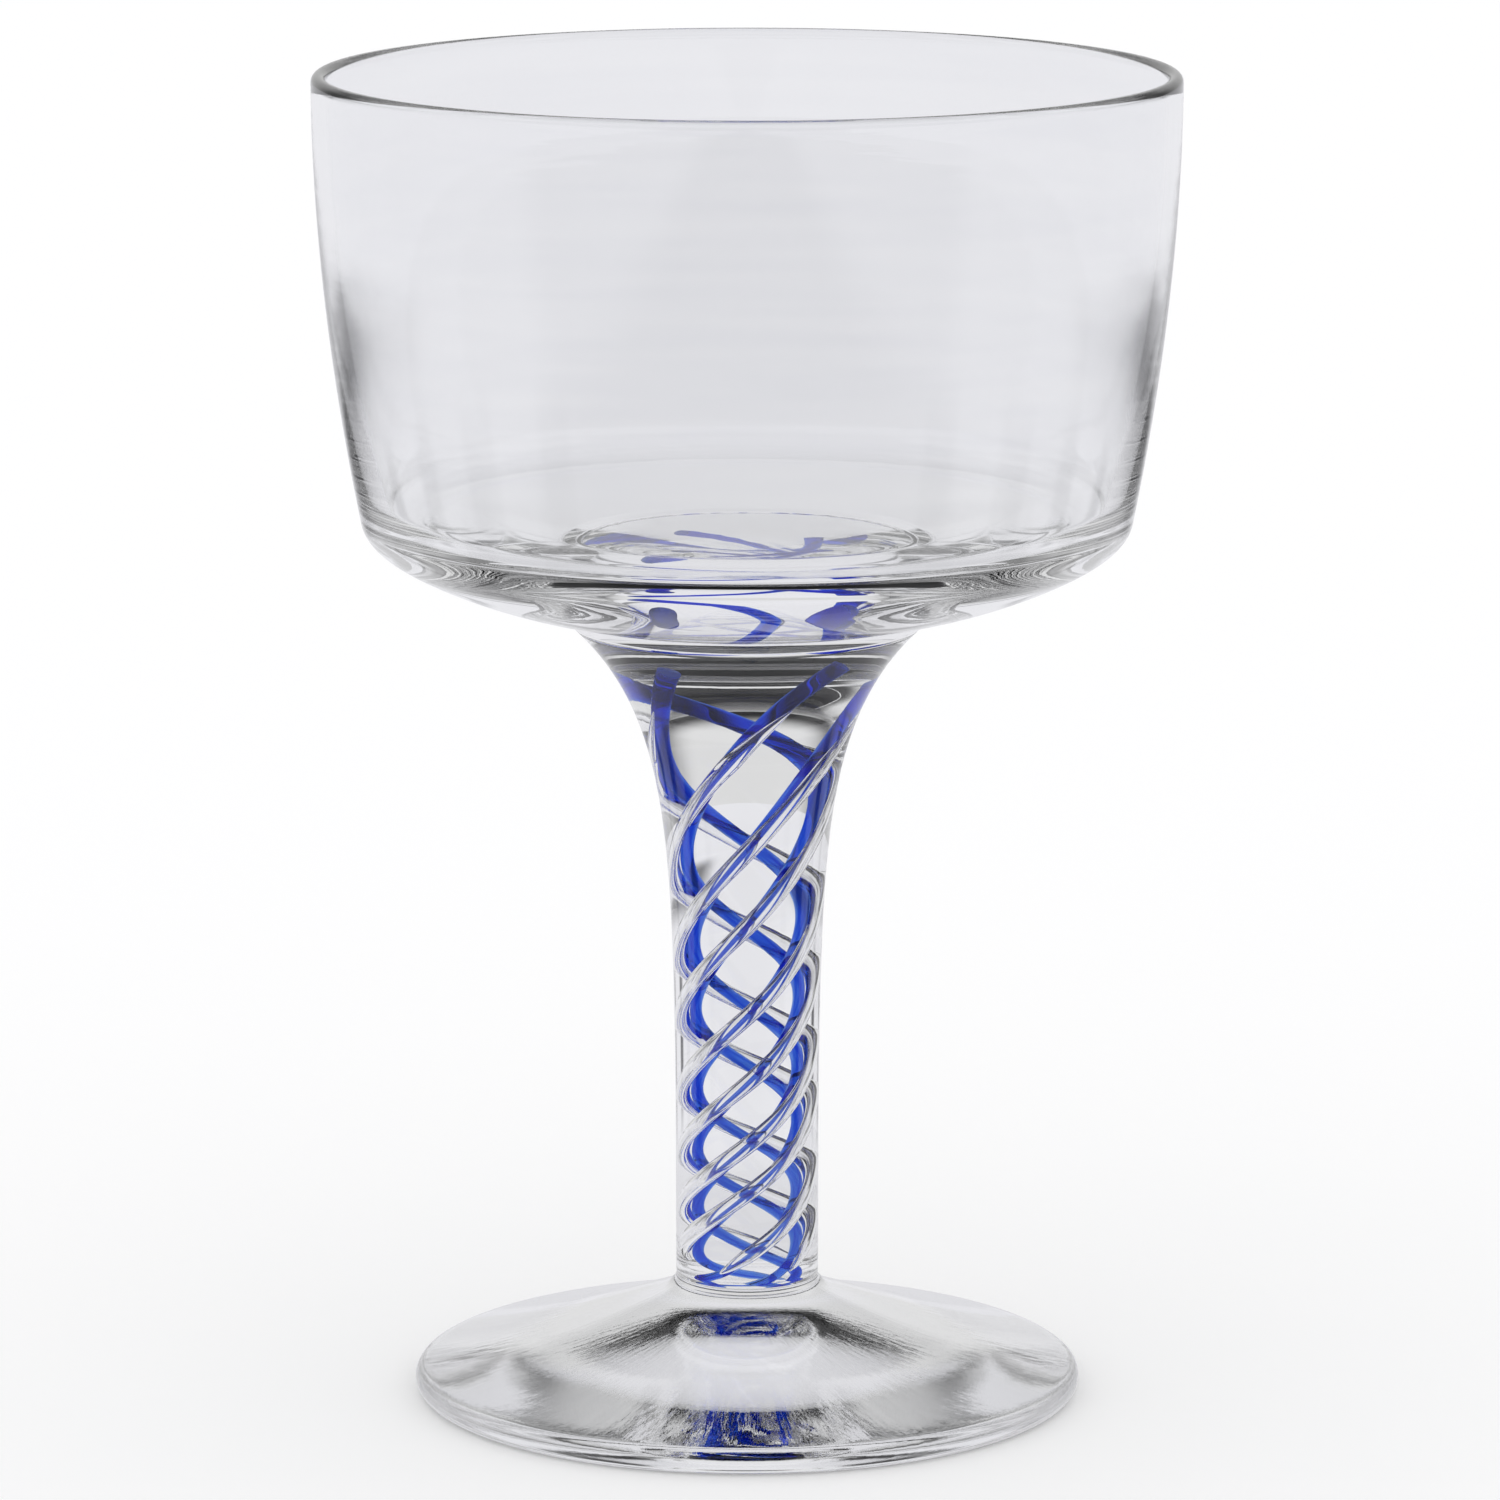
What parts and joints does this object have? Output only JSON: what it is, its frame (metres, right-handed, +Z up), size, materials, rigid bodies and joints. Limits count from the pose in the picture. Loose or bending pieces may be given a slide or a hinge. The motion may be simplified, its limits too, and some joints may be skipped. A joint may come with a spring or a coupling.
{
  "type": "sherbet glass",
  "caption": "Stemmed sherbet glass: wide clear bowl with a thick base, flared stem with a blue and air twist inside, and a low domed foot.",
  "frame": {"origin": "centre of the foot's standing ring, on the surface that the glass stands on", "axes": "+Z up along the axis of the glass, from the foot to the rim; -Y is the side seen in the picture"},
  "size_m": [0.09, 0.09, 0.14],
  "materials": {
    "clear_glass": "fire-polished, clear and smooth, with faint streaks from blowing",
    "blue_glass": "transparent cobalt blue, smooth, cut rough at the top ends"
  },
  "bodies": {
    "root": {"bowl": "clear_glass", "stem_core": "clear_glass", "stem_casing": "clear_glass", "foot": "clear_glass", "blue_cane_1": "blue_glass", "blue_cane_2": "blue_glass", "blue_cane_3": "blue_glass", "blue_cane_4": "blue_glass"}
  },
  "joints": []
}
